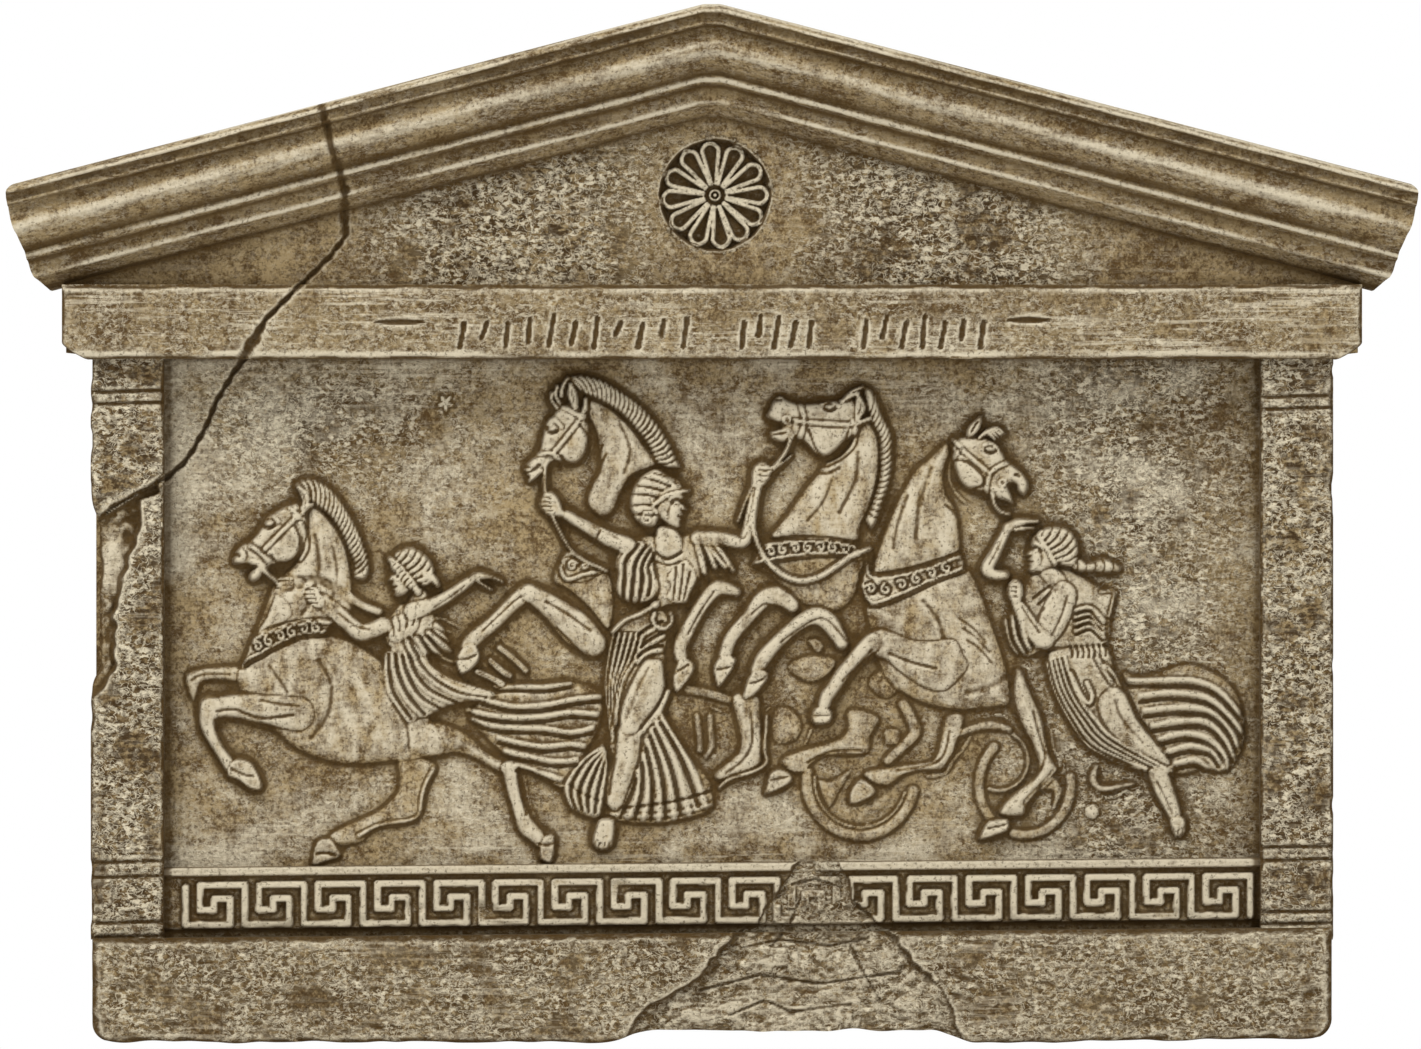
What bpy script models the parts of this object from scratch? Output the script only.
"""Wall relief shaped like a small temple front, cast in one piece, with a carved chariot scene.

Metres, +Z up. The carved face looks along -Y, and the flat back lies in the plane y = 0, against the wall.
The origin is the middle of the back.
"""
import math

import bmesh
import bpy
import numpy as np

# Stacked heights, from the foot up
PLINTH_HEIGHT = 0.0265
KEY_BAND_HEIGHT = 0.0169
FIELD_HEIGHT = 0.1217
ENTABLATURE_HEIGHT = 0.0174
EAVES_HEIGHT = 0.0242
PEDIMENT_SLOPE = math.radians(14.6)
APEX_FLAT = 0.004

# Widths across the front
RELIEF_WIDTH = 0.3400
ENTABLATURE_WIDTH = 0.3136
PLINTH_WIDTH = 0.2990
PLINTH_CORNER = 0.0045
PILASTER_WIDTH = 0.0176
FIELD_WIDTH = 0.2628
FRAME_JOINT = 0.0010

# Depth of each front, measured from the wall
FIELD_DEPTH = 0.010
TYMPANUM_DEPTH = 0.014
KEY_BAND_DEPTH = 0.0150
PILASTER_DEPTH = 0.018
ENTABLATURE_DEPTH = 0.022
PLINTH_DEPTH = 0.022

# Backboard that ties the members together, set in a little from their outer faces. Members that cross each
# other begin at depths a little apart inside it.
BOARD_DEPTH = 0.0065
BOARD_INSET = 0.0003
MEMBER_BACK = 0.0030
MEMBER_SHIFT = 0.0006

# The lower bands rise a little to the right
BAND_SLOPE = 0.009

# Mouldings of the raking cornice: drop below its top edge, depth, and how far the end is cut back
CORNICE_ROWS = (
    (0.0000, 0.0255, 0.0025),
    (0.0009, 0.0288, 0.0008),
    (0.0019, 0.0300, 0.0000),
    (0.0038, 0.0292, 0.0000),
    (0.0048, 0.0262, 0.0004),
    (0.0072, 0.0276, 0.0016),
    (0.0106, 0.0270, 0.0030),
    (0.0140, 0.0242, 0.0040),
    (0.0164, 0.0216, 0.0046),
    (0.0183, 0.0211, 0.0046),
    (0.0190, 0.0189, 0.0054),
    (0.0198, 0.0196, 0.0060),
    (0.0230, 0.0186, 0.0070),
    (0.0238, 0.0150, 0.0100),
    (0.0252, 0.0125, 0.0130),
)

# Grooves across the pilasters, from the top and from the foot
PILASTER_GROOVES_FROM_TOP = (0.0068, 0.0098)
PILASTER_GROOVES_FROM_FOOT = (0.0022, 0.0052, 0.0172, 0.0206)
GROOVE_WIDTH = 0.0010
GROOVE_DEPTH = 0.0009

# Key pattern
KEY_COUNT = 18
KEY_PATTERN_WIDTH = 0.2570
KEY_RIB_WIDTH = 0.0013
KEY_RIB_HEIGHT = 0.0018
KEY_RAIL_HEIGHT = 0.0022

# Rosette
ROSETTE_RADIUS = 0.0135
ROSETTE_CENTRE = (0.0007, 0.0224)
ROSETTE_SINK = 0.0022
PETAL_COUNT = 12
PETAL_START = 0.0029
PETAL_LENGTH = 0.0096
PETAL_HALF_WIDTH = 0.0017
PETAL_RIB = 0.0008
PETAL_RISE = 0.0016
EYE_RADIUS = 0.0017

# Rows of plain strokes on the entablature
SIGN_HEIGHT = 0.0080
SIGN_PITCH = 0.0093
STROKE_WIDTH = 0.0011
STROKE_DEPTH = 0.0008
SIGN_GROUPS = ((-0.0590, 6), (0.0080, 3), (0.0375, 4))
DASH_CENTRES = (-0.0752, 0.0762)
DASH_LENGTH = 0.0050

# Hairline crack from the left eaves to the left pilaster, and the two broken places
CRACK_WIDTH = 0.0014
CRACK_DEPTH = 0.0012
BREAK_DEPTH = 0.0016
CHIP_DEPTH = 0.0030

# Figures: height of each layer of carving above the field, and the raster they are worked out on
LOW = 0.0013
MIDDLE = 0.0022
HIGH = 0.0031
STEPS_ACROSS = 1090
RASTER_CELL = 0.0008
SOFT_EDGE = 7.0
RIM_HALF_WIDTH = 2.6
CORD_HALF_WIDTH = 2.4
THREAD_HALF_WIDTH = 2.2
PANEL_TRIANGLES = 5400
PANEL_LAP = 0.0015

STEP = FIELD_WIDTH / STEPS_ACROSS
STONE_COLOUR = (0.42, 0.35, 0.25, 1.0)


class Levels:
    """Heights and half widths worked out from the driving dimensions."""

    apex_rise = (RELIEF_WIDTH / 2) * math.tan(PEDIMENT_SLOPE)
    total = PLINTH_HEIGHT + KEY_BAND_HEIGHT + FIELD_HEIGHT + ENTABLATURE_HEIGHT + EAVES_HEIGHT + apex_rise
    foot = -total / 2
    plinth_top = foot + PLINTH_HEIGHT
    band_top = plinth_top + KEY_BAND_HEIGHT
    field_top = band_top + FIELD_HEIGHT
    entablature_top = field_top + ENTABLATURE_HEIGHT
    apex = total / 2
    half_field = FIELD_WIDTH / 2
    pilaster_inner = half_field + FRAME_JOINT
    pilaster_outer = pilaster_inner + PILASTER_WIDTH


def new_object(name, mesh_data, as_guide=True):
    """Wrap a bmesh in an object. Every body but the finished relief is kept as a hidden guide."""
    mesh = bpy.data.meshes.new(name)
    bmesh.ops.scale(mesh_data, vec=(1000, 1000, 1000), verts=mesh_data.verts)
    bmesh.ops.triangulate(mesh_data, faces=mesh_data.faces, ngon_method="EAR_CLIP")
    bmesh.ops.recalc_face_normals(mesh_data, faces=mesh_data.faces)
    bmesh.ops.scale(mesh_data, vec=(0.001, 0.001, 0.001), verts=mesh_data.verts)
    mesh_data.to_mesh(mesh)
    mesh_data.free()
    made = bpy.data.objects.new(name, mesh)
    bpy.context.collection.objects.link(made)
    if as_guide:
        made.hide_render = True
        made.display_type = "WIRE"
    return made


def bridge(body, loops):
    """Close a body from point loops of equal length: walls between neighbours and a cap at each end."""
    rings = []
    for points in loops:
        rings.append([body.verts.new(point) for point in points])
    count = len(rings[0])
    for ring, following in zip(rings[:-1], rings[1:]):
        for i in range(count):
            j = (i + 1) % count
            body.faces.new((ring[i], ring[j], following[j], following[i]))
    body.faces.new(rings[0])
    body.faces.new(rings[-1])


def along_x(name, profile, x_left, x_right, slope=0.0, back=MEMBER_BACK):
    """A straight member with its profile, (depth, z) points from the top down, drawn out along X."""
    closed = [(back, profile[0][1]), *profile, (back, profile[-1][1])]
    body = bmesh.new()
    loops = [[(x, -depth, z + slope * x) for depth, z in closed] for x in (x_left, x_right)]
    bridge(body, loops)
    return new_object(name, body)


def plate(body, outline, y_back, y_front):
    """Add a flat plate with an (x, z) outline, drawn out along Y."""
    bridge(body, [[(x, y, z) for x, z in outline] for y in (y_back, y_front)])


def grooved_face(top, foot, depth, grooves, edge=0.0012):
    """Profile of a flat face with softened edges and square grooves at the given heights."""
    points = [(depth - edge, top), (depth, top - edge)]
    for z in sorted(grooves, reverse=True):
        points.append((depth, z + GROOVE_WIDTH / 2))
        points.append((depth - GROOVE_DEPTH, z + GROOVE_WIDTH / 4))
        points.append((depth - GROOVE_DEPTH, z - GROOVE_WIDTH / 4))
        points.append((depth, z - GROOVE_WIDTH / 2))
    points.append((depth, foot + edge))
    points.append((depth - edge, foot))
    return points


def make_plinth():
    """Plain plinth with a long bevel above and rounded ends below."""
    half = PLINTH_WIDTH / 2
    round_end = PLINTH_CORNER
    top = Levels.plinth_top
    foot = Levels.foot
    body = bmesh.new()
    rings = []
    for depth, inset in ((MEMBER_BACK, 0.0), (PLINTH_DEPTH - 0.0015, 0.0), (PLINTH_DEPTH, 0.0015)):
        ring = [(-half + inset, top - inset), (half - inset, top - inset)]
        for centre_x, start in ((half - round_end, 0.0), (-half + round_end, -90.0)):
            for turn in (0, 30, 60, 90):
                angle = math.radians(start - turn)
                reach = round_end - inset
                ring.append(
                    (centre_x + reach * math.cos(angle), foot + round_end + reach * math.sin(angle))
                )
        rings.append(
            [(x, -depth, z + (BAND_SLOPE * x if z > foot + round_end else 0.0)) for x, z in ring]
        )
    bridge(body, rings)
    return new_object("plinth", body)


def make_pilasters():
    """Two pilasters with shallow bands across their heads and feet."""
    top = Levels.field_top
    foot = Levels.plinth_top - 0.001
    made = []
    for side in (-1, 1):
        lift = side * BAND_SLOPE * Levels.pilaster_outer
        grooves = [top - z + 0.3 * lift for z in PILASTER_GROOVES_FROM_TOP]
        grooves += [Levels.plinth_top + z + lift for z in PILASTER_GROOVES_FROM_FOOT]
        ends = sorted((side * Levels.pilaster_inner, side * Levels.pilaster_outer))
        profile = grooved_face(top + 0.001, foot, PILASTER_DEPTH, grooves)
        made.append(along_x("pilaster_left" if side < 0 else "pilaster_right", profile, *ends))
    return made


def make_key_band():
    """Floor of the key pattern, with its top rail and the sunk line above the plinth."""
    top = Levels.band_top
    foot = Levels.plinth_top
    floor = KEY_BAND_DEPTH - KEY_RIB_HEIGHT
    rail_foot = top - KEY_RAIL_HEIGHT
    profile = [
        (KEY_BAND_DEPTH - 0.0005, top),
        (KEY_BAND_DEPTH, top - 0.0005),
        (KEY_BAND_DEPTH, rail_foot + 0.0003),
        (floor, rail_foot),
        (floor, foot + 0.0020),
        (floor - 0.0015, foot + 0.0016),
        (floor - 0.0015, foot - 0.001),
    ]
    reach = Levels.pilaster_inner + 0.001
    return along_x("key_band", profile, -reach, reach, BAND_SLOPE, MEMBER_BACK + MEMBER_SHIFT)


def key_line():
    """Middle line of the one rib that winds through the whole key pattern, left to right."""
    pitch = KEY_PATTERN_WIDTH / KEY_COUNT
    pattern_top = Levels.band_top - KEY_RAIL_HEIGHT - 0.0022
    pattern_foot = Levels.plinth_top + 0.0030
    tall = pattern_top - pattern_foot
    turns = (
        (-0.04, 0.0), (0.71, 0.0), (0.71, 0.65), (0.44, 0.65), (0.44, 0.36), (0.20, 0.36), (0.20, 1.0),
        (0.96, 1.0),
    )
    line = []
    for key in range(KEY_COUNT):
        start = -KEY_PATTERN_WIDTH / 2 + key * pitch
        line += [(start + across * pitch, pattern_foot + up * tall) for across, up in turns]
    line.append((line[-1][0], pattern_foot))
    return line


def ribbon_outline(line, half):
    """Outline of a square-cornered ribbon round a line of level and upright runs."""
    sides = ([], [])
    for i, (x, z) in enumerate(line):
        before = line[max(i - 1, 0)]
        after = line[min(i + 1, len(line) - 1)]
        come = np.sign(np.round([x - before[0], z - before[1]], 7))
        leave = np.sign(np.round([after[0] - x, after[1] - z], 7))
        if i == 0:
            come = leave
        if i == len(line) - 1:
            leave = come
        normal_in = np.array([-come[1], come[0]])
        normal_out = np.array([-leave[1], leave[0]])
        corner = normal_in + normal_out * (1 - abs(np.dot(normal_in, normal_out)))
        sides[0].append((x + half * corner[0], z + half * corner[1]))
        sides[1].append((x - half * corner[0], z - half * corner[1]))
    return sides


def make_key_rib():
    """The winding rib as a chain of quads, closed into one body."""
    left, right = ribbon_outline(key_line(), KEY_RIB_WIDTH / 2)
    body = bmesh.new()
    rings = []
    for (xa, za), (xb, zb) in zip(left, right):
        low = -(KEY_BAND_DEPTH - KEY_RIB_HEIGHT - 0.0006)
        high = -KEY_BAND_DEPTH
        lift_a = BAND_SLOPE * xa
        lift_b = BAND_SLOPE * xb
        rings.append(
            [
                (xa, low, za + lift_a), (xa, high, za + lift_a), (xb, high, zb + lift_b),
                (xb, low, zb + lift_b),
            ]
        )
    bridge(body, rings)
    return new_object("key_rib", body)


def make_entablature():
    """Plain entablature under the pediment."""
    profile = grooved_face(Levels.entablature_top + 0.001, Levels.field_top, ENTABLATURE_DEPTH, ())
    half = ENTABLATURE_WIDTH / 2
    return along_x("entablature", profile, -half, half, back=MEMBER_BACK + MEMBER_SHIFT)


def make_strokes():
    """Cutter for the worn signs, kept as plain sunk strokes: uprights with one or two short bars each."""
    body = bmesh.new()
    middle = (Levels.entablature_top + Levels.field_top) / 2 - 0.0012
    back = -(ENTABLATURE_DEPTH - STROKE_DEPTH)
    front = -(ENTABLATURE_DEPTH + STROKE_DEPTH)

    def stroke(x, z, wide, tall):
        outline = [
            (x - wide / 2, z - tall / 2), (x + wide / 2, z - tall / 2), (x + wide / 2, z + tall / 2),
            (x - wide / 2, z + tall / 2),
        ]
        plate(body, outline, back, front)

    for first, count in SIGN_GROUPS:
        for i in range(count):
            x = first + (i + 0.5) * SIGN_PITCH
            spread = STROKE_WIDTH * 2
            stroke(x - spread, middle, STROKE_WIDTH, SIGN_HEIGHT)
            if i % 3 != 1:
                stroke(x + spread, middle, STROKE_WIDTH, SIGN_HEIGHT)
            for k in range(1 + i % 2):
                z = middle + SIGN_HEIGHT * (0.12 + 0.28 * k) * (1 if i % 2 else -1)
                stroke(x, z, STROKE_WIDTH * 2.2, STROKE_WIDTH)
    for x in DASH_CENTRES:
        stroke(x - DASH_LENGTH * 0.7, middle + 0.0020, DASH_LENGTH, STROKE_WIDTH)
        stroke(x + DASH_LENGTH * 0.7, middle + 0.0022, DASH_LENGTH, STROKE_WIDTH)
    return new_object("strokes", body)


def rake(x, drop=0.0):
    """Height of a raking line at x, dropped below the top edge of the pediment."""
    return Levels.apex - drop - abs(x) * math.tan(PEDIMENT_SLOPE)


def make_cornice():
    """Raking cornice: one profile drawn out to both ends from the apex."""
    half = RELIEF_WIDTH / 2
    rings = []
    for side, at_end in ((-1, True), (-1, False), (1, False), (1, True)):
        ring = []
        for drop, depth, cut_back in CORNICE_ROWS:
            x = side * (half - cut_back if at_end else APEX_FLAT / 2)
            ring.append((x, -depth, rake(x, drop)))
        first = ring[0]
        last = ring[-1]
        rings.append([(first[0], -MEMBER_BACK, first[2]), *ring, (last[0], -MEMBER_BACK, last[2])])
    body = bmesh.new()
    bridge(body, rings)
    return new_object("cornice", body)


def make_tympanum():
    """Flat ground of the pediment, reaching under the cornice and down behind the entablature."""
    body = bmesh.new()
    under = (CORNICE_ROWS[-3][0] + CORNICE_ROWS[-4][0]) / 2
    half = RELIEF_WIDTH / 2 - CORNICE_ROWS[-3][2] - 0.0013
    foot = Levels.entablature_top - 0.002
    inner = ENTABLATURE_WIDTH / 2 - 0.0005
    outline = [
        (-inner, foot), (inner, foot), (half, rake(half, under)), (0.0, rake(0.0, under)),
        (-half, rake(half, under)),
    ]
    plate(body, outline, -(MEMBER_BACK + 2 * MEMBER_SHIFT), -TYMPANUM_DEPTH)
    return new_object("tympanum", body)


def make_board():
    """Backboard with the outline of the whole front. Its flat back is what meets the wall."""
    inset = BOARD_INSET
    foot_half = PLINTH_WIDTH / 2 - inset
    head_half = ENTABLATURE_WIDTH / 2 - inset
    eaves_drop, _, eaves_cut = CORNICE_ROWS[-1]
    eaves_half = RELIEF_WIDTH / 2 - eaves_cut - 2 * inset
    end_half = RELIEF_WIDTH / 2 - CORNICE_ROWS[0][2] - 3 * inset
    apex_half = APEX_FLAT / 2
    right = [
        (foot_half - PLINTH_CORNER, Levels.foot + inset),
        (foot_half, Levels.foot + PLINTH_CORNER),
        (foot_half, Levels.field_top + 2 * inset),
        (head_half, Levels.field_top + 2 * inset),
        (head_half, Levels.entablature_top),
        (eaves_half, rake(eaves_half, 0.87 * eaves_drop)),
        (end_half, rake(end_half, 3 * inset)),
        (apex_half, rake(apex_half, 2 * inset)),
    ]
    outline = right + [(-x, z) for x, z in reversed(right)]
    body = bmesh.new()
    plate(body, outline, 0.0, -BOARD_DEPTH)
    return new_object("temple_relief", body, as_guide=False)


def rosette_place():
    """Middle of the rosette, in the plane of the front."""
    return ROSETTE_CENTRE[0], Levels.entablature_top + ROSETTE_CENTRE[1]


def circle(centre, radius, count):
    """Points round a circle in the plane of the front."""
    turns = [2 * math.pi * i / count for i in range(count)]
    return [(centre[0] + radius * math.cos(a), centre[1] + radius * math.sin(a)) for a in turns]


def make_rosette_sink():
    """Round sinking behind the rosette."""
    body = bmesh.new()
    plate(
        body, circle(rosette_place(), ROSETTE_RADIUS, 40), -(TYMPANUM_DEPTH - ROSETTE_SINK),
        -(TYMPANUM_DEPTH + 0.01),
    )
    return new_object("rosette_sink", body)


def petal_loop(angle, inset):
    """One drop-shaped loop, narrow at the eye of the rosette and round at the rim."""
    points = []
    length = PETAL_LENGTH - 2.4 * inset
    half = PETAL_HALF_WIDTH - inset
    for i in range(12):
        turn = 2 * math.pi * i / 12
        along = PETAL_START + length * (0.5 - 0.5 * math.cos(turn)) + 1.4 * inset
        across = half * math.sin(turn) * (0.62 - 0.38 * math.cos(turn))
        points.append((along, across))
    centre = rosette_place()
    cos = math.cos(angle)
    sin = math.sin(angle)
    return [(centre[0] + a * cos - b * sin, centre[1] + a * sin + b * cos) for a, b in points]


def tube_plate(body, outer, inner, y_back, y_front):
    """A ring plate between two outlines of equal count."""
    loops = []
    for outline, y in ((outer, y_back), (outer, y_front), (inner, y_front), (inner, y_back)):
        loops.append([body.verts.new((x, y, z)) for x, z in outline])
    count = len(outer)
    for k in range(4):
        ring = loops[k]
        following = loops[(k + 1) % 4]
        for i in range(count):
            j = (i + 1) % count
            body.faces.new((ring[i], ring[j], following[j], following[i]))


def make_petals():
    """Petals as raised loops, with a ring and a stud in the middle."""
    body = bmesh.new()
    back = -(TYMPANUM_DEPTH - ROSETTE_SINK - 0.0008)
    front = -(TYMPANUM_DEPTH - ROSETTE_SINK + PETAL_RISE)
    for i in range(PETAL_COUNT):
        angle = math.radians(5) + 2 * math.pi * i / PETAL_COUNT
        tube_plate(body, petal_loop(angle, 0.0), petal_loop(angle, PETAL_RIB), back, front)
    tube_plate(
        body, circle(rosette_place(), EYE_RADIUS, 12), circle(rosette_place(), EYE_RADIUS * 0.55, 12),
        back, front,
    )
    return new_object("petals", body)


def groove_cutter(name, stations, width, depth):
    """Narrow slot cutter along stations (x, z, depth of the front there), open to the front."""
    body = bmesh.new()
    clear = max(front for _, _, front in stations) + 0.002
    rings = []
    for i, (x, z, front) in enumerate(stations):
        before = stations[max(i - 1, 0)]
        after = stations[min(i + 1, len(stations) - 1)]
        run = math.hypot(after[0] - before[0], after[1] - before[1])
        across = (-(after[1] - before[1]) / run, (after[0] - before[0]) / run)
        ring = []
        for side, y in ((0.3, -(front - depth)), (0.5, -clear), (-0.5, -clear), (-0.3, -(front - depth))):
            ring.append((x + across[0] * side * width, y, z + across[1] * side * width))
        rings.append(ring)
    bridge(body, rings)
    return new_object(name, body)


def make_crack():
    """The crack over the cornice, the corner of the tympanum and the entablature."""
    x_eaves = -0.094
    stations = []
    for drop, depth, _ in CORNICE_ROWS[1:13:2]:
        wander = 0.0018 * math.sin(drop * 420)
        stations.append((x_eaves + drop * 0.22 + wander, rake(x_eaves, drop), depth))
    on_cornice = groove_cutter("crack_cornice", stations, CRACK_WIDTH, CRACK_DEPTH)
    x_low = -0.1160
    top = Levels.entablature_top
    foot = Levels.field_top
    stations = [
        (x_low + 0.0080, top + 0.0060, TYMPANUM_DEPTH),
        (x_low + 0.0030, top + 0.0020, TYMPANUM_DEPTH),
    ]
    on_tympanum = groove_cutter("crack_tympanum", stations, CRACK_WIDTH, CRACK_DEPTH)
    stations = [
        (x_low + 0.0065, top + 0.0015, ENTABLATURE_DEPTH),
        (x_low + 0.0035, (top + foot) / 2 + 0.0030, ENTABLATURE_DEPTH),
        (x_low + 0.0030, (top + foot) / 2 - 0.0050, ENTABLATURE_DEPTH),
        (x_low, foot - 0.0010, ENTABLATURE_DEPTH),
    ]
    on_entablature = groove_cutter("crack_entablature", stations, CRACK_WIDTH * 1.6, CRACK_DEPTH)
    return [on_cornice, on_tympanum, on_entablature]


def hollow_cutter(name, outline, floor_depth, clear_depth):
    """Cutter for a broken place: a slanted floor under an uneven outline. floor_depth is a function of z."""
    body = bmesh.new()
    floor = [(x, -floor_depth(z), z) for x, z in outline]
    above = [(x, -clear_depth, z) for x, z in outline]
    bridge(body, [floor, above])
    return new_object(name, body)


def make_breaks():
    """The break at the foot of the front, and the chipped stretch of the left pilaster."""
    band = Levels.band_top
    seam = Levels.plinth_top
    foot = Levels.foot
    outline = [
        (
            0.0245, band + 0.0005,
        ), (0.0290, band - 0.0050), (0.0340, seam + 0.0050), (0.0430, seam + 0.0010),
        (0.0490, seam - 0.0080), (0.0590, foot + 0.0060), (0.0605, foot - 0.0010), (
            -0.0210, foot - 0.0010,
        ),
        (
            -0.0170, foot + 0.0050,
        ), (-0.0030, seam - 0.0080), (0.0050, seam - 0.0005), (0.0105, seam + 0.0020),
        (0.0190, seam + 0.0110), (0.0215, band - 0.0020),
    ]

    def break_floor(z):
        share = (z - foot) / (band - foot)
        low = PLINTH_DEPTH - BREAK_DEPTH
        high = KEY_BAND_DEPTH - BREAK_DEPTH
        return low + (high - low) * min(max((share - 0.45) / 0.30, 0.0), 1.0)

    broken = hollow_cutter("foot_break", outline, break_floor, PLINTH_DEPTH + 0.01)
    outer = -Levels.pilaster_outer
    middle = (Levels.band_top + Levels.field_top) / 2
    chip = [
        (outer - 0.001, middle + 0.0310), (
            outer + 0.0160, middle + 0.0280,
        ), (outer + 0.0118, middle + 0.0190),
        (outer + 0.0100, middle + 0.0100), (outer + 0.0062, middle), (outer + 0.0055, middle - 0.0090),
        (outer + 0.0030, middle - 0.0150), (outer - 0.001, middle - 0.0200),
    ]
    chipped = hollow_cutter(
        "pilaster_chip", chip, lambda z: PILASTER_DEPTH - CHIP_DEPTH, PILASTER_DEPTH + 0.01,
    )
    return [broken, chipped]


def smooth(points, closed=False, pieces=5):
    """A smooth line through its control points (Catmull-Rom), with any further values carried along."""
    control = np.array(points, dtype=float)
    count = len(control)
    if count < 3:
        return control
    line = []
    spans = count if closed else count - 1
    for i in range(spans):
        around = [i - 1, i, i + 1, i + 2]
        if closed:
            around = [k % count for k in around]
        else:
            around = [min(max(k, 0), count - 1) for k in around]
        a, b, c, d = control[around]
        for k in range(pieces):
            t = k / pieces
            line.append(
                0.5 * (
                    2 * b + (c - a) * t + (
                        2 * a - 5 * b + 4 * c - d
                    ) * t**2 + (3 * b - a - 3 * c + d) * t**3
                )
            )
    if not closed:
        line.append(control[-1])
    return np.array(line)


class Carving:
    """The carved field on an even raster: u to the right, v up, in carving steps, and levels in metres."""

    def __init__(self, left, right, low, high, spacing, ground):
        self.u = np.linspace(left, right, round((right - left) / spacing) + 1)
        self.v = np.linspace(low, high, round((high - low) / spacing) + 1)
        self.ground = ground
        self.level = np.full((len(self.v), len(self.u)), ground)

    def window(self, line, reach):
        """Part of the raster within reach of a line, with the coordinates of its points."""
        first_u, last_u = np.searchsorted(self.u, (line[:, 0].min() - reach, line[:, 0].max() + reach))
        first_v, last_v = np.searchsorted(self.v, (line[:, 1].min() - reach, line[:, 1].max() + reach))
        part = np.s_[first_v:last_v, first_u:last_u]
        return part, *np.meshgrid(self.u[first_u:last_u], self.v[first_v:last_v])

    @staticmethod
    def away_from(line, u, v):
        """Distance of each raster point from a line, and the line's half width nearest to it."""
        nearest = np.full(u.shape, np.inf)
        width = np.zeros(u.shape)
        for start, end in zip(line[:-1], line[1:]):
            du, dv = end[:2] - start[:2]
            along = np.clip(
                ((u - start[0]) * du + (v - start[1]) * dv) / max(du * du + dv * dv, 1e-9), 0, 1,
            )
            away = np.hypot(u - start[0] - along * du, v - start[1] - along * dv)
            closer = away < nearest
            nearest = np.where(closer, away, nearest)
            if len(start) > 2:
                width = np.where(closer, start[2] + along * (end[2] - start[2]), width)
        return nearest, width

    def build_up(self, part, inside, edge, rise):
        """Raise the ground in a rounded form; inside is the distance in from its outline."""
        share = np.clip(inside / edge, 0, 1)
        form = self.ground + rise * np.sqrt(1 - (1 - share) ** 2)
        self.level[part] = np.where(inside > 0, np.maximum(self.level[part], form), self.level[part])

    def limb(self, rise, *points):
        """A tapered round form along a line of (u, v, half width) points."""
        line = smooth(points)
        part, u, v = self.window(line, line[:, 2].max())
        away, width = self.away_from(line, u, v)
        self.build_up(part, width - away, np.maximum(width * 0.9, 1e-6), rise)

    def mass(self, rise, *outline, edge=SOFT_EDGE):
        """A flat-topped form with rounded edges inside a smooth closed outline."""
        line = smooth(outline, closed=True)
        line = np.vstack([line, line[:1]])
        part, u, v = self.window(line, 1.0)
        away, _ = self.away_from(line, u, v)
        crossings = np.zeros(u.shape, dtype=int)
        for (u0, v0), (u1, v1) in zip(line[:-1, :2], line[1:, :2]):
            if v0 == v1:
                continue
            spans = (v0 > v) != (v1 > v)
            crossings += spans & (u < u0 + (v - v0) / (v1 - v0) * (u1 - u0))
        self.build_up(part, np.where(crossings % 2 == 1, away, -away), edge, rise)

    def folds(self, rise, first, last, count, half_width=4.0):
        """Ridges spread evenly from the first line to the last."""
        for i in range(count):
            share = i / max(count - 1, 1)
            line = [np.array(a) * (1 - share) + np.array(b) * share for a, b in zip(first, last)]
            self.limb(rise, *[(u, v, half_width) for u, v in line])

    def arc(self, rise, centre, radii, start, end, half_width):
        """Part of a round rim, from one angle to another, in degrees."""
        turns = np.radians(np.linspace(start, end, 15))
        points = [
            (
                centre[0] + radii[0] * math.cos(a), centre[1] + radii[1] * math.sin(a), half_width,
            ) for a in turns
        ]
        self.limb(rise, *points)


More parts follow.
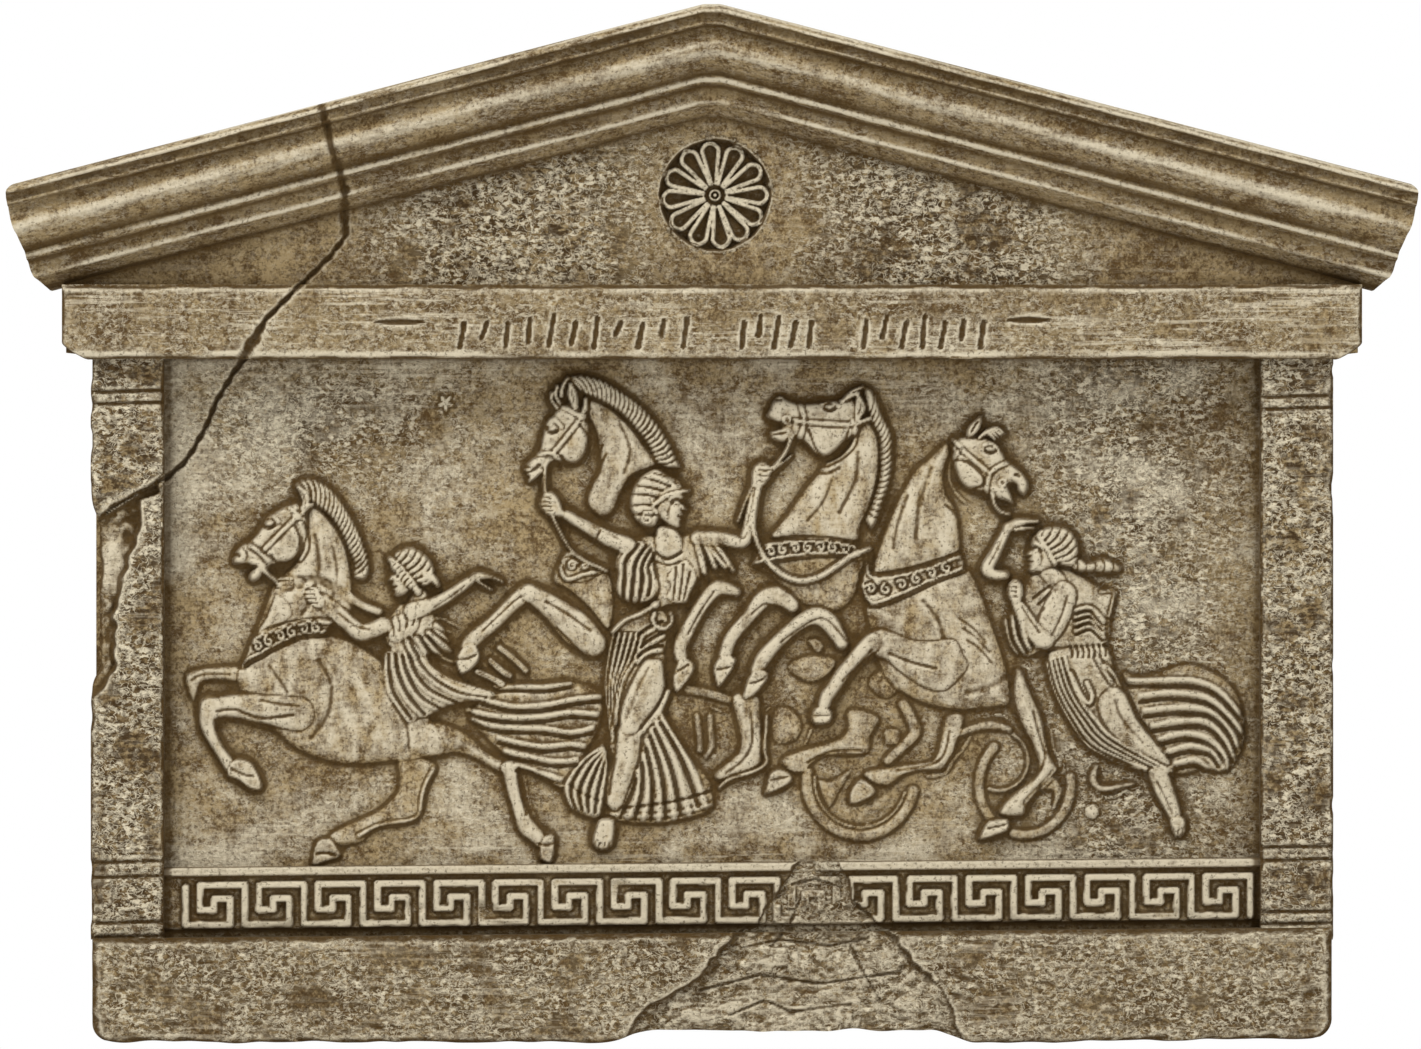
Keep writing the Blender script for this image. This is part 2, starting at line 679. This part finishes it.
def carve_left_horse(field):
    """Horse at the left edge, stepping out to the left."""
    field.mass(
        LOW, (230, 112), (230, 78), (212, 57), (185, 44), (160, 31), (166, 21), (190, 23), (208, 37),
        (240, 42), (253, 53), (259, 78), (268, 100),
    )
    field.mass(LOW, (148, 25), (160, 28), (169, 18), (171, 9), (155, 3), (143, 0), (143, 10))
    field.mass(
        LOW, (80, 199), (50, 200), (30, 198), (19, 195), (15, 188), (18, 176), (23, 166), (28, 172),
        (31, 181), (42, 186), (80, 184),
    )
    field.mass(
        MIDDLE, (73, 201), (90, 211), (115, 224), (145, 232), (178, 226), (212, 205), (238, 172),
        (265, 142), (275, 112), (245, 106), (190, 101), (160, 104), (130, 115), (108, 132), (85, 150),
        (70, 175), (68, 190),
    )
    field.mass(
        MIDDLE, (260, 142), (278, 141), (300, 130), (318, 113), (346, 98), (340, 90), (328, 93),
        (305, 106), (285, 112), (270, 124),
    )
    field.limb(MIDDLE, (341, 96, 9), (345, 75, 8), (351, 55, 8), (357, 38, 10), (360, 28, 8))
    field.mass(MIDDLE, (370, 8), (373, 3), (384, 1), (387, 28), (377, 29), (371, 17))
    field.limb(
        LOW, (354, 93, CORD_HALF_WIDTH), (358, 76, CORD_HALF_WIDTH),
        (361, 60, CORD_HALF_WIDTH), (366, 48, CORD_HALF_WIDTH),
    )
    field.limb(HIGH, (128, 152, 17), (95, 156, 15), (65, 160, 13), (42, 158, 11))
    field.limb(HIGH, (38, 158, 11), (38, 142, 9), (45, 125, 7), (55, 109, 7), (63, 98, 8))
    field.mass(HIGH, (57, 91), (68, 86), (80, 77), (91, 75), (94, 82), (87, 98), (80, 106), (66, 108))
    field.mass(
        MIDDLE, (141, 360), (153, 355), (166, 340), (175, 325), (182, 298), (184, 262), (180, 243),
        (150, 243), (120, 239), (92, 230), (84, 232), (97, 262), (106, 283), (125, 302), (133, 325),
        (136, 345),
    )
    field.mass(
        HIGH, (70, 320), (80, 326), (93, 341), (103, 353), (119, 362), (134, 360), (138, 345),
        (136, 325), (131, 310), (120, 303), (104, 302), (94, 294), (86, 284), (78, 284), (80, 296),
        (62, 300), (64, 312),
    )
    field.mass(
        MIDDLE, (125, 380), (134, 386), (146, 386), (165, 374), (180, 353), (193, 328), (200, 300),
        (197, 286), (184, 288), (184, 302), (171, 333), (157, 352), (141, 362), (133, 370), edge=4.0,
    )
    upper_rim = ((82, 225), (105, 235), (135, 242), (162, 243))
    lower_rim = ((73, 201), (100, 217), (130, 230), (157, 234))
    for rim in (upper_rim, lower_rim):
        field.limb(HIGH, *[(u, v, RIM_HALF_WIDTH) for u, v in rim])


def carve_left_groom(field):
    """Groom between the two left horses, looking and reaching to the left."""
    field.mass(
        LOW, (300, 150), (325, 118), (352, 95), (392, 76), (404, 86), (416, 108), (428, 130), (436, 155),
        (430, 172), (400, 182), (345, 178), (318, 168),
    )
    field.folds(
        MIDDLE, ((330, 176), (375, 177), (400, 182), (428, 172)),
        ((350, 98), (375, 90), (390, 82), (396, 78)), 6, 3.6,
    )
    field.mass(
        MIDDLE, (215, 212), (217, 190), (221, 170), (238, 143), (262, 146), (282, 158), (312, 163),
        (325, 172), (300, 181), (280, 188), (262, 201), (250, 221), (232, 218),
    )
    field.folds(
        HIGH, ((215, 210), (217, 190), (222, 170), (240, 142)),
        ((250, 220), (263, 200), (285, 185), (321, 174)), 6, 4.4,
    )
    field.mass(
        MIDDLE, (232, 262), (250, 262), (264, 254), (272, 238), (280, 212), (262, 214), (245, 212),
        (228, 212), (216, 226), (216, 242), (224, 254),
    )
    field.limb(LOW, (118, 283, 7), (135, 284, 5.5), (152, 280, 5.5), (178, 266, 5.5), (200, 258, 5))
    field.limb(
        HIGH, (143, 270, 8), (158, 262, 8), (173, 250, 9), (190, 237, 10), (206, 240, 9), (226, 244, 10),
    )
    field.limb(
        HIGH, (244, 254, 10), (262, 259, 8), (281, 269, 8), (298, 282, 6.5), (314, 289, 4.5),
        (332, 284, 2.6),
    )
    field.limb(MIDDLE, (312, 282, 3), (322, 275, 2.4))
    field.mass(
        HIGH, (221, 308), (230, 316), (242, 319), (254, 313), (264, 301), (267, 289), (260, 276),
        (248, 268), (232, 268), (220, 275), (214, 287), (219, 297),
    )
    field.folds(
        MIDDLE, ((332, 216), (345, 205), (356, 194)), ((310, 192), (322, 187), (332, 182)), 3, 4.0,
    )


def carve_second_horse(field):
    """Horse with its head turned down to the left, rearing behind the goddess."""
    field.mass(
        LOW, (391, 300), (415, 294), (440, 290), (446, 262), (440, 234), (420, 258), (400, 276),
        (385, 283),
    )
    field.mass(
        MIDDLE, (420, 466), (436, 461), (452, 449), (466, 434), (479, 416), (489, 400), (466, 390),
        (455, 375), (444, 352), (430, 348), (418, 362), (424, 382), (432, 398), (427, 430), (418, 452),
    )
    field.mass(
        HIGH, (391, 460), (380, 447), (373, 430), (371, 418), (367, 410), (356, 402), (354, 394),
        (362, 385), (374, 394), (392, 402), (406, 400), (419, 411), (422, 428), (419, 448), (408, 462),
    )
    field.mass(
        MIDDLE, (400, 487), (412, 491), (440, 483), (470, 463), (494, 436), (509, 407), (512, 396),
        (490, 400), (480, 418), (465, 438), (450, 453), (430, 465), (415, 471), edge=4.0,
    )
    field.limb(HIGH, (407, 459, 3), (404, 470, 6), (402, 481, 2.5))
    field.limb(MIDDLE, (303, 224, 9), (325, 242, 8.5), (345, 262, 9), (360, 272, 10))
    field.mass(MIDDLE, (286, 205), (292, 215), (300, 221), (308, 219), (312, 208), (305, 197), (292, 190))
    field.limb(HIGH, (364, 271, 10), (386, 255, 14), (408, 236, 18), (424, 221, 14))
    field.limb(
        MIDDLE, (566, 272, 6), (549, 275, 9), (536, 262, 8), (524, 242, 8), (515, 224, 9), (512, 214, 8),
    )
    field.mass(MIDDLE, (506, 195), (514, 206), (525, 202), (527, 194), (519, 181), (508, 170), (504, 183))


def carve_goddess(field):
    """Charioteer in the middle, in a long pleated dress, holding the reins to both sides."""
    field.mass(
        LOW, (452, 246), (485, 258), (502, 244), (498, 212), (499, 182), (500, 168), (490, 150),
        (506, 131), (523, 105), (542, 84), (545, 65), (541, 50), (500, 40), (455, 42), (430, 45),
        (412, 48), (400, 58), (394, 75), (402, 90), (418, 108), (438, 122), (438, 149), (436, 178),
        (439, 206), (444, 232),
    )
    field.folds(
        MIDDLE, ((446, 230), (440, 200), (438, 160), (444, 122)),
        ((472, 232), (466, 208), (455, 185), (449, 140)), 5, 3.0,
    )
    field.folds(
        MIDDLE, ((490, 148), (506, 128), (524, 104), (538, 60)),
        ((478, 120), (476, 95), (470, 70), (458, 46)), 6, 5.0,
    )
    field.folds(
        MIDDLE, ((434, 118), (416, 107), (400, 88), (398, 60)),
        ((434, 92), (430, 80), (426, 66), (424, 50)), 5, 3.6,
    )
    field.mass(
        HIGH, (481, 204), (494, 202), (497, 187), (496, 172), (487, 156), (475, 139), (464, 129),
        (454, 132), (451, 146), (458, 168), (468, 188), (474, 200),
    )
    field.limb(HIGH, (461, 130, 12), (459, 105, 12), (453, 80, 12), (449, 60, 10))
    field.mass(HIGH, (431, 44), (424, 27), (424, 17), (431, 13), (443, 17), (447, 28), (445, 44))
    field.mass(
        MIDDLE, (463, 323), (482, 330), (500, 320), (520, 330), (538, 327), (548, 300), (536, 286),
        (526, 262), (500, 258), (478, 257), (458, 262), (448, 278), (449, 302),
    )
    field.folds(
        HIGH, ((468, 320), (455, 305), (453, 285), (456, 266)),
        ((486, 312), (480, 298), (483, 284), (480, 268)), 4, 3.2,
    )
    field.folds(HIGH, ((528, 325), (532, 312), (536, 292)), ((545, 322), (556, 312), (564, 296)), 4, 2.8)
    field.folds(HIGH, ((502, 287), (502, 276), (502, 264)), ((526, 285), (522, 275), (519, 263)), 4, 2.6)
    field.limb(MIDDLE, (499, 342, 10), (500, 322, 12))
    field.limb(HIGH, (458, 320, 10), (440, 326, 9), (418, 338, 8), (396, 350, 7), (384, 362, 9))
    field.limb(
        HIGH, (532, 326, 8), (555, 325, 8), (574, 322, 7), (582, 340, 6.5), (588, 362, 7), (592, 392, 9),
    )
    field.mass(
        HIGH, (480, 390), (500, 393), (514, 386), (521, 374), (521, 360), (517, 346), (505, 337),
        (488, 335), (472, 341), (464, 352), (464, 368), (470, 381),
    )
    field.arc(MIDDLE, (494.5, 246), (10, 9), -200, 20, THREAD_HALF_WIDTH)
    field.limb(
        MIDDLE, (444, 232, THREAD_HALF_WIDTH),
        (457, 245, THREAD_HALF_WIDTH), (472, 250, THREAD_HALF_WIDTH), (487, 259, THREAD_HALF_WIDTH),
    )


def carve_third_horse(field):
    """Horse to the right of the goddess, with its head level and its forelegs raised."""
    field.limb(LOW, (520, 174, 5), (540, 170, 5), (560, 164, 5))
    field.limb(LOW, (529, 147, 3.5), (532, 113, 3.5))
    field.limb(LOW, (542, 147, 3.5), (543, 116, 3.5), (538, 108, 3.5))
    field.mass(
        MIDDLE, (564, 166), (569, 130), (568, 108), (545, 90), (553, 84), (585, 94), (594, 106),
        (592, 150), (590, 166),
    )
    field.limb(
        LOW, (599, 147, RIM_HALF_WIDTH), (597, 113, RIM_HALF_WIDTH),
        (599, 100, RIM_HALF_WIDTH), (586, 90, RIM_HALF_WIDTH), (553, 76, RIM_HALF_WIDTH),
    )
    field.mass(MIDDLE, (602, 90), (612, 94), (624, 87), (622, 78), (597, 67), (599, 80))
    field.mass(LOW, (620, 196), (640, 208), (668, 204), (662, 188), (640, 180))
    field.mass(LOW, (634, 220), (648, 224), (660, 214), (650, 208))
    field.mass(LOW, (606, 152), (622, 156), (634, 140), (628, 122), (606, 122))
    field.mass(
        MIDDLE, (647, 388), (634, 372), (619, 350), (606, 332), (628, 330), (684, 329), (694, 340),
        (703, 357), (710, 382), (713, 406), (711, 428), (702, 443), (690, 440), (684, 424), (672, 408),
        (656, 400),
    )
    field.mass(
        HIGH, (604, 464), (612, 470), (626, 464), (656, 464), (684, 465), (693, 452), (690, 432),
        (679, 424), (668, 412), (657, 406), (648, 410), (636, 423), (622, 430), (612, 424), (603, 426),
        (601, 434), (612, 441), (598, 448),
    )
    field.mass(
        MIDDLE, (696, 477), (707, 472), (714, 452), (722, 435), (725, 415), (723, 388), (717, 366),
        (706, 336), (698, 344), (703, 357), (711, 382), (713, 406), (711, 428), (702, 446), edge=4.0,
    )
    field.limb(HIGH, (690, 446, 3), (691, 458, 6), (690, 470, 2.5))
    field.mass(LOW, (596, 320), (630, 324), (688, 319), (680, 308), (640, 309), (604, 303), (588, 300))
    field.limb(
        MIDDLE, (624, 258, 9), (608, 267, 11), (594, 263, 10), (580, 246, 8), (567, 232, 8),
        (560, 219, 8),
    )
    field.mass(MIDDLE, (545, 197), (552, 207), (568, 206), (566, 195), (551, 175), (546, 186))
    field.limb(
        HIGH, (674, 220, 8), (661, 241, 10), (645, 246, 9), (628, 238, 8), (610, 222, 8), (596, 206, 9),
    )
    field.mass(HIGH, (578, 183), (587, 193), (600, 192), (600, 183), (588, 169), (576, 165))
    field.limb(
        HIGH, (592, 378, 3.2), (585, 354, 3.2), (587, 331, 3.2), (597, 306, 3.2), (622, 286, 3.2),
        (648, 286, 3.2), (671, 299, 3.2), (684, 309, 3.2), (700, 314, 3.2),
    )


def carve_wheels(field):
    """Two chariot wheels behind the legs of the right horse."""
    field.arc(LOW, (693, 82), (54, 56), 172, 350, 6.0)
    field.mass(LOW, (650, 81), (664, 80), (683, 92), (672, 72), (661, 55), edge=3.0)
    field.arc(LOW, (858, 76), (46, 51), 132, 222, 5.0)
    field.arc(LOW, (858, 76), (46, 51), -105, 8, 5.0)
    field.arc(LOW, (832, 100), (29, 30), -110, 60, 2.0)
    field.limb(LOW, (792, 128, 4), (812, 135, 4.5), (828, 136, 4.5), (842, 132, 3))


def carve_right_horse(field):
    """Horse rearing to the right, with its head bent down."""
    field.mass(
        LOW, (680, 152), (697, 152), (701, 135), (702, 114), (693, 107), (663, 107), (645, 99),
        (636, 90), (624, 90), (613, 99), (618, 107), (642, 115), (669, 123), (679, 132),
    )
    field.limb(LOW, (738, 156, 6), (748, 132, 7), (738, 118, 6), (722, 103, 5))
    field.mass(
        LOW, (779, 143), (773, 123), (769, 108), (760, 100), (734, 96), (702, 92), (696, 86), (708, 77),
        (722, 76), (736, 86), (755, 91), (774, 91), (785, 104), (790, 119), (797, 144),
    )
    field.mass(LOW, (692, 83), (704, 77), (709, 69), (698, 61), (683, 57), (682, 70))
    field.mass(
        MIDDLE, (702, 258), (736, 268), (795, 293), (812, 270), (826, 236), (835, 210), (841, 188),
        (843, 158), (826, 155), (796, 152), (767, 155), (747, 162), (726, 176), (710, 200), (704, 230),
    )
    field.mass(
        MIDDLE, (779, 422), (763, 408), (747, 394), (733, 370), (721, 344), (712, 319), (707, 300),
        (709, 289), (736, 293), (790, 308), (791, 336), (790, 352), (780, 370), (777, 389), (783, 410),
    )
    field.mass(
        HIGH, (786, 424), (797, 428), (812, 428), (824, 426), (833, 418), (840, 404), (853, 395),
        (863, 383), (862, 374), (855, 366), (846, 359), (838, 362), (826, 366), (808, 373), (796, 377),
        (787, 390), (785, 408),
    )
    field.mass(HIGH, (799, 428), (801, 439), (812, 449), (816, 446), (812, 435), (805, 428), edge=3.0)
    field.mass(
        HIGH, (700, 228), (712, 234), (743, 223), (763, 221), (786, 223), (795, 208), (800, 196),
        (790, 182), (775, 171), (755, 176), (734, 190), (718, 203), (706, 207),
    )
    field.limb(HIGH, (702, 220, 10), (690, 208, 9), (676, 192, 8), (664, 176, 8), (659, 166, 7))
    field.mass(HIGH, (648, 155), (664, 151), (661, 139), (645, 139))
    field.mass(
        HIGH, (848, 190), (846, 160), (853, 138), (864, 117), (870, 100), (869, 87), (855, 74),
        (838, 60), (831, 47), (843, 43), (857, 45), (862, 57), (876, 76), (891, 91), (884, 104),
        (879, 123), (875, 145), (864, 170), (856, 188),
    )
    field.mass(HIGH, (811, 20), (818, 37), (829, 41), (841, 41), (841, 30), (826, 23))
    field.limb(
        MIDDLE, (886, 130, RIM_HALF_WIDTH), (888, 108, RIM_HALF_WIDTH),
        (898, 93, 2.8), (880, 74, RIM_HALF_WIDTH), (860, 58, RIM_HALF_WIDTH),
    )
    upper_rim = ((700, 300), (708, 284), (736, 289), (768, 298), (794, 309))
    lower_rim = ((694, 278), (704, 259), (736, 269), (768, 284), (797, 295))
    for rim in (upper_rim, lower_rim):
        field.limb(HIGH, *[(u, v, RIM_HALF_WIDTH) for u, v in rim])


def carve_right_groom(field):
    """Groom at the right, facing left with raised arms and a flying cloak."""
    field.mass(
        LOW, (955, 188), (976, 185), (1004, 193), (1023, 197), (1047, 189), (1066, 174), (1076, 153),
        (1078, 127), (1073, 104), (1059, 87), (1035, 89), (1009, 85), (998, 104), (982, 128), (968, 152),
    )
    field.folds(
        MIDDLE, ((962, 181), (1000, 184), (1040, 178), (1066, 160), (1074, 132)),
        ((984, 126), (1010, 120), (1040, 120), (1058, 108), (1058, 92)), 6, 3.4,
    )
    field.mass(
        LOW, (848, 255), (866, 288), (900, 294), (938, 272), (948, 268), (942, 242), (938, 214),
        (904, 212), (880, 212), (862, 207), (842, 214), (836, 240),
    )
    field.folds(
        MIDDLE, ((838, 242), (840, 224), (852, 207)), ((862, 262), (868, 240), (872, 222)), 4, 2.6,
    )
    field.folds(
        MIDDLE, ((910, 234), (914, 228), (906, 222)), ((924, 252), (937, 240), (932, 228)), 4, 3.0,
    )
    field.mass(
        MIDDLE, (880, 206), (887, 170), (905, 134), (924, 111), (957, 97), (974, 88), (1004, 86),
        (1006, 94), (992, 111), (976, 132), (966, 152), (955, 174), (948, 193), (940, 214), (905, 212),
    )
    field.folds(
        HIGH, ((880, 200), (888, 170), (908, 134), (940, 106), (974, 90)),
        ((896, 202), (908, 170), (926, 142), (950, 122), (996, 92)), 5, 3.6,
    )
    field.mass(
        HIGH, (936, 166), (946, 172), (960, 167), (970, 141), (996, 110), (1002, 95), (970, 108),
        (946, 125), (934, 144), (931, 157),
    )
    field.limb(HIGH, (992, 82, 11), (1000, 62, 10), (1008, 45, 8), (1011, 30, 7))
    field.limb(
        HIGH, (868, 341, 5), (852, 341, 6), (841, 336, 6), (830, 314, 7), (820, 296, 8), (832, 287, 6),
    )
    field.limb(HIGH, (847, 280, 7), (847, 264, 7), (852, 250, 8), (864, 234, 9), (875, 219, 8))
    field.limb(HIGH, (876, 220, 8), (885, 240, 10), (895, 262, 13), (897, 272, 11))
    field.mass(
        HIGH, (872, 326), (886, 336), (902, 333), (910, 318), (910, 305), (900, 296), (880, 290),
        (862, 289), (850, 295), (855, 306), (864, 318),
    )
    field.limb(MIDDLE, (905, 301, 6), (920, 294, 4), (936, 296, 8), (950, 294, 5))
    field.limb(MIDDLE, (925, 92, 3), (930, 75, 4), (950, 72, 3), (965, 74, 2))
    field.limb(MIDDLE, (926, 55, 2), (926, 48, 7), (926, 42, 2))


def make_field():
    """The carved field as a closed block: a raster front, thinned out, on a plain back."""
    lap = PANEL_LAP / STEP
    high = FIELD_HEIGHT / STEP
    field = Carving(
        -lap - FRAME_JOINT / STEP, STEPS_ACROSS + lap + FRAME_JOINT / STEP, -lap - 5.0, high + lap,
        RASTER_CELL / STEP, FIELD_DEPTH,
    )
    carve_left_horse(field)
    carve_left_groom(field)
    carve_second_horse(field)
    carve_goddess(field)
    carve_third_horse(field)
    carve_wheels(field)
    carve_right_horse(field)
    carve_right_groom(field)
    rows, columns = field.level.shape
    body = bmesh.new()
    front = []
    for row in range(rows):
        z = Levels.band_top + field.v[row] * STEP
        line = []
        for column in range(columns):
            x = -Levels.half_field + field.u[column] * STEP
            line.append(body.verts.new((x, -field.level[row, column], z)))
        front.append(line)
    for row in range(rows - 1):
        for column in range(columns - 1):
            body.faces.new(
                (
                    front[row][column], front[row][column + 1], front[row + 1][column + 1],
                    front[row + 1][column],
                )
            )
    rim = front[0][:-1] + [line[-1] for line in front[:-1]] + front[-1][:0:-1] + [
        line[0] for line in front[:0:-1]
    ]
    back = [body.verts.new((vert.co.x, -MEMBER_BACK, vert.co.z)) for vert in rim]
    for i in range(len(rim)):
        j = (i + 1) % len(rim)
        body.faces.new((rim[i], back[i], back[j], rim[j]))
    body.faces.new(back)
    panel = new_object("carved_field", body)
    thin = panel.modifiers.new("thin", "DECIMATE")
    thin.ratio = PANEL_TRIANGLES / len(panel.data.polygons)
    return panel


def combine(base, operation, guides):
    """One exact Boolean step on an object, with all of the guides at once."""
    group = bpy.data.collections.new(operation.lower() + "_" + base.name)
    bpy.context.scene.collection.children.link(group)
    for guide in guides:
        group.objects.link(guide)
    step = base.modifiers.new(group.name, "BOOLEAN")
    step.operation = operation
    step.solver = "EXACT"
    step.use_self = True
    step.operand_type = "COLLECTION"
    step.collection = group
    return base


def make_material():
    """Matt cast stone with an umber wash."""
    stone = bpy.data.materials.new("cast_stone")
    stone.use_nodes = True
    shader = stone.node_tree.nodes["Principled BSDF"]
    shader.inputs["Base Color"].default_value = STONE_COLOUR
    shader.inputs["Roughness"].default_value = 0.82
    shader.inputs["Metallic"].default_value = 0.0
    return stone


def main():
    """Build every member, then join them into the one casting."""
    for old in list(bpy.data.objects):
        bpy.data.objects.remove(old)
    relief = make_board()
    relief.data.materials.append(make_material())
    crack_cornice, crack_tympanum, crack_entablature = make_crack()
    foot_break, pilaster_chip = make_breaks()
    left_pilaster, right_pilaster = make_pilasters()
    members = [
        combine(make_plinth(), "DIFFERENCE", [foot_break]),
        combine(make_key_band(), "DIFFERENCE", [foot_break]),
        combine(make_key_rib(), "DIFFERENCE", [foot_break]),
        combine(left_pilaster, "DIFFERENCE", [pilaster_chip]),
        right_pilaster,
        combine(make_entablature(), "DIFFERENCE", [make_strokes(), crack_entablature]),
        combine(make_cornice(), "DIFFERENCE", [crack_cornice]),
        combine(make_tympanum(), "DIFFERENCE", [make_rosette_sink(), crack_tympanum]),
        make_petals(),
        make_field(),
    ]
    combine(relief, "UNION", members)


main()
